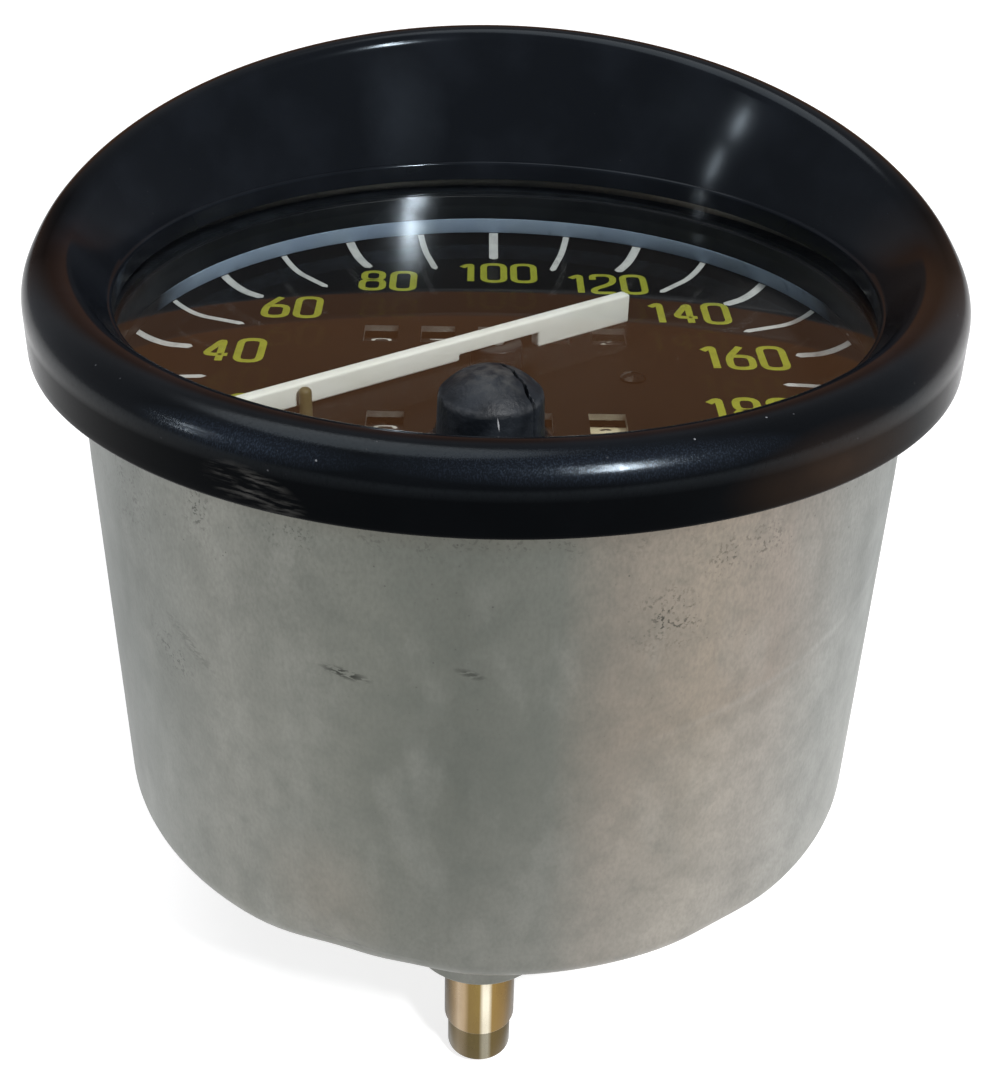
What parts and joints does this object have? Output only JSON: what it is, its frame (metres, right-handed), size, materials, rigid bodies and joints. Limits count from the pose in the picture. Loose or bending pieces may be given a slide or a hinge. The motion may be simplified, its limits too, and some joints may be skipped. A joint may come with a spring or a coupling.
{
  "type": "panel speedometer",
  "caption": "Round panel speedometer with a hooded black bezel, dished dial, white pointer, drum counters, reset button, and an offset cable drive at the back of its can.",
  "frame": {"origin": "on the dial axis at the panel face, under the bezel", "axes": "+Z out of the dial along its axis, +Y to 12 o'clock, +X to 3 o'clock"},
  "size_m": [0.11, 0.11, 0.1076],
  "materials": {
    "zinc_can": "dull zinc plate, smudged and scratched",
    "black_bezel": "gloss black, scuffed on the front rim",
    "clear_glass": "clear, smooth",
    "black_rubber": "dry, matt",
    "black_plastic": "satin",
    "pale_ring": "matt pale blue-grey",
    "dial_black": "matt brown-black paint with printed figures",
    "dark_steel": "dull",
    "brass": "turned, tarnished",
    "white_paint": "matt white",
    "steel": "turned",
    "aluminium": "satin",
    "cast_zinc": "die-cast, dull",
    "magnet_iron": "sintered",
    "cream_plastic": "moulded",
    "drum_black": "printed white figures",
    "drum_cream": "printed dark figures",
    "bulb_glass": "clear"
  },
  "bodies": {
    "housing": {"case": "zinc_can", "retaining_ring": "black_bezel", "hood": "black_bezel", "glass": "clear_glass", "glass_seal": "black_rubber", "spacer_ring": "black_plastic", "light_ring": "pale_ring", "dial": "dial_black", "dial_screws": "dark_steel", "stop_pin": "brass", "spindle_bush": "brass", "bridge": "cast_zinc", "left_plate": "cast_zinc", "right_plate": "cast_zinc", "base_plate": "cast_zinc", "case_screws": "steel", "keeper_ring": "steel", "idler_post": "steel", "drive_nipple": "brass", "odometer_pinion_rod": "steel", "trip_pinion_rod": "steel", "reset_spring": "steel", "button_guide": "black_plastic", "lamp_holders": "black_plastic", "lamp_bulbs": "bulb_glass"},
    "pointer_arbor": {"pointer": "white_paint", "pointer_hub": "black_plastic", "pointer_spindle": "steel", "drag_cup": "aluminium", "hairspring": "brass"},
    "input": {"input_shaft": "brass"},
    "idler": {"idler_gear": "cream_plastic"},
    "magnet_arbor": {"magnet": "magnet_iron", "magnet_spindle": "steel", "magnet_gear": "brass"},
    "takeoff": {"takeoff_shaft": "steel"},
    "layshaft": {"layshaft": "steel"},
    "odometer_shaft": {"odometer_shaft": "steel"},
    "trip_shaft": {"trip_shaft": "steel", "trip_drum_4": "drum_cream"},
    "button": {"reset_knob": "black_rubber", "reset_rod": "steel"},
    "lever": {"reset_lever": "steel"},
    "odometer_drum_5": {"odometer_drum_5": "drum_black"},
    "odometer_pinion_5": {"odometer_pinion_5": "cream_plastic"},
    "odometer_drum_4": {"odometer_drum_4": "drum_black"},
    "odometer_pinion_4": {"odometer_pinion_4": "cream_plastic"},
    "odometer_drum_3": {"odometer_drum_3": "drum_black"},
    "odometer_pinion_3": {"odometer_pinion_3": "cream_plastic"},
    "odometer_drum_2": {"odometer_drum_2": "drum_black"},
    "odometer_pinion_2": {"odometer_pinion_2": "cream_plastic"},
    "odometer_drum_1": {"odometer_drum_1": "drum_black"},
    "odometer_pinion_1": {"odometer_pinion_1": "cream_plastic"},
    "trip_drum_3": {"trip_drum_3": "drum_black"},
    "trip_pinion_3": {"trip_pinion_3": "cream_plastic"},
    "trip_drum_2": {"trip_drum_2": "drum_black"},
    "trip_pinion_2": {"trip_pinion_2": "cream_plastic"},
    "trip_drum_1": {"trip_drum_1": "drum_black"},
    "trip_pinion_1": {"trip_pinion_1": "cream_plastic"}
  },
  "joints": [
    {"name": "drive_spin", "type": "hinge", "parent": "housing", "child": "input", "pos_m": [-0.001, -0.03679, -0.056], "axis": [0, 0, 1], "continuous": true},
    {"name": "idler_spin", "type": "hinge", "parent": "housing", "child": "idler", "pos_m": [-0.0005, -0.01839, -0.056], "axis": [0, 0, 1], "continuous": true},
    {"name": "magnet_spin", "type": "hinge", "parent": "housing", "child": "magnet_arbor", "pos_m": [0, 0, -0.05], "axis": [0, 0, 1], "continuous": true},
    {"name": "takeoff_spin", "type": "hinge", "parent": "housing", "child": "takeoff", "pos_m": [0.01419, -0.00422, -0.05], "axis": [0, 0, 1], "continuous": true},
    {"name": "layshaft_spin", "type": "hinge", "parent": "housing", "child": "layshaft", "pos_m": [0.02269, 0, -0.0261], "axis": [0, 1, 0], "continuous": true},
    {"name": "odometer_spin", "type": "hinge", "parent": "housing", "child": "odometer_shaft", "pos_m": [0, 0.0113, -0.0167], "axis": [1, 0, 0], "continuous": true},
    {"name": "trip_spin", "type": "hinge", "parent": "housing", "child": "trip_shaft", "pos_m": [0, -0.0143, -0.0167], "axis": [1, 0, 0], "continuous": true},
    {"name": "odometer_drum_5_spin", "type": "hinge", "parent": "housing", "child": "odometer_drum_5", "pos_m": [0, 0.0113, -0.0167], "axis": [1, 0, 0], "continuous": true},
    {"name": "odometer_pinion_5_spin", "type": "hinge", "parent": "housing", "child": "odometer_pinion_5", "pos_m": [0, 0.019, -0.02209], "axis": [1, 0, 0], "continuous": true},
    {"name": "odometer_drum_4_spin", "type": "hinge", "parent": "housing", "child": "odometer_drum_4", "pos_m": [0, 0.0113, -0.0167], "axis": [1, 0, 0], "continuous": true},
    {"name": "odometer_pinion_4_spin", "type": "hinge", "parent": "housing", "child": "odometer_pinion_4", "pos_m": [0, 0.019, -0.02209], "axis": [1, 0, 0], "continuous": true},
    {"name": "odometer_drum_3_spin", "type": "hinge", "parent": "housing", "child": "odometer_drum_3", "pos_m": [0, 0.0113, -0.0167], "axis": [1, 0, 0], "continuous": true},
    {"name": "odometer_pinion_3_spin", "type": "hinge", "parent": "housing", "child": "odometer_pinion_3", "pos_m": [0, 0.019, -0.02209], "axis": [1, 0, 0], "continuous": true},
    {"name": "odometer_drum_2_spin", "type": "hinge", "parent": "housing", "child": "odometer_drum_2", "pos_m": [0, 0.0113, -0.0167], "axis": [1, 0, 0], "continuous": true},
    {"name": "odometer_pinion_2_spin", "type": "hinge", "parent": "housing", "child": "odometer_pinion_2", "pos_m": [0, 0.019, -0.02209], "axis": [1, 0, 0], "continuous": true},
    {"name": "odometer_drum_1_spin", "type": "hinge", "parent": "housing", "child": "odometer_drum_1", "pos_m": [0, 0.0113, -0.0167], "axis": [1, 0, 0], "continuous": true},
    {"name": "odometer_pinion_1_spin", "type": "hinge", "parent": "housing", "child": "odometer_pinion_1", "pos_m": [0, 0.019, -0.02209], "axis": [1, 0, 0], "continuous": true},
    {"name": "trip_drum_3_spin", "type": "hinge", "parent": "housing", "child": "trip_drum_3", "pos_m": [0, -0.0143, -0.0167], "axis": [1, 0, 0], "continuous": true},
    {"name": "trip_pinion_3_spin", "type": "hinge", "parent": "housing", "child": "trip_pinion_3", "pos_m": [0, -0.022, -0.02209], "axis": [1, 0, 0], "continuous": true},
    {"name": "trip_drum_2_spin", "type": "hinge", "parent": "housing", "child": "trip_drum_2", "pos_m": [0, -0.0143, -0.0167], "axis": [1, 0, 0], "continuous": true},
    {"name": "trip_pinion_2_spin", "type": "hinge", "parent": "housing", "child": "trip_pinion_2", "pos_m": [0, -0.022, -0.02209], "axis": [1, 0, 0], "continuous": true},
    {"name": "trip_drum_1_spin", "type": "hinge", "parent": "housing", "child": "trip_drum_1", "pos_m": [0, -0.0143, -0.0167], "axis": [1, 0, 0], "continuous": true},
    {"name": "trip_pinion_1_spin", "type": "hinge", "parent": "housing", "child": "trip_pinion_1", "pos_m": [0, -0.022, -0.02209], "axis": [1, 0, 0], "continuous": true},
    {"name": "pointer_swing", "type": "hinge", "parent": "housing", "child": "pointer_arbor", "pos_m": [0, 0, 0], "axis": [0, 0, -1], "range_deg": [0, 261], "stiffness_Nm_per_rad": 0.00002, "springref_deg": -17.19, "deforming": ["hairspring"]},
    {"name": "button_press", "type": "slide", "parent": "housing", "child": "button", "axis": [0, 0, -1], "range_m": [0, 0.0015], "stiffness_N_per_m": 300, "springref_m": -0.001, "deforming": ["reset_spring"]},
    {"name": "lever_tilt", "type": "hinge", "parent": "housing", "child": "lever", "pos_m": [0, -0.028, -0.0125], "axis": [1, 0, 0], "range_deg": [0, 10.31]}
  ],
  "couplings": [
    {"joint": "idler_spin", "follows": "drive_spin", "ratio": -1.0909},
    {"joint": "magnet_spin", "follows": "drive_spin", "ratio": 1},
    {"joint": "takeoff_spin", "follows": "drive_spin", "ratio": -1.8462},
    {"joint": "layshaft_spin", "follows": "drive_spin", "ratio": -0.046154},
    {"joint": "odometer_spin", "follows": "drive_spin", "ratio": -0.0010033},
    {"joint": "trip_spin", "follows": "drive_spin", "ratio": -0.0010033},
    {"joint": "odometer_drum_5_spin", "follows": "drive_spin", "ratio": -0.00010033},
    {"joint": "odometer_pinion_5_spin", "follows": "drive_spin", "ratio": 0.00025084},
    {"joint": "odometer_drum_4_spin", "follows": "drive_spin", "ratio": -0.000010033},
    {"joint": "odometer_pinion_4_spin", "follows": "drive_spin", "ratio": 0.000025084},
    {"joint": "odometer_drum_3_spin", "follows": "drive_spin", "ratio": -0.0000010033},
    {"joint": "odometer_pinion_3_spin", "follows": "drive_spin", "ratio": 0.0000025084},
    {"joint": "odometer_drum_2_spin", "follows": "drive_spin", "ratio": -0.00000010033},
    {"joint": "odometer_pinion_2_spin", "follows": "drive_spin", "ratio": 0.00000025084},
    {"joint": "odometer_drum_1_spin", "follows": "drive_spin", "ratio": -0.000000010033},
    {"joint": "odometer_pinion_1_spin", "follows": "drive_spin", "ratio": 0.000000025084},
    {"joint": "trip_drum_3_spin", "follows": "drive_spin", "ratio": -0.00010033},
    {"joint": "trip_pinion_3_spin", "follows": "drive_spin", "ratio": 0.00025084},
    {"joint": "trip_drum_2_spin", "follows": "drive_spin", "ratio": -0.000010033},
    {"joint": "trip_pinion_2_spin", "follows": "drive_spin", "ratio": 0.000025084},
    {"joint": "trip_drum_1_spin", "follows": "drive_spin", "ratio": -0.0000010033},
    {"joint": "trip_pinion_1_spin", "follows": "drive_spin", "ratio": 0.0000025084},
    {"joint": "lever_tilt", "follows": "button_press", "rad_per_m": 117.65}
  ]
}
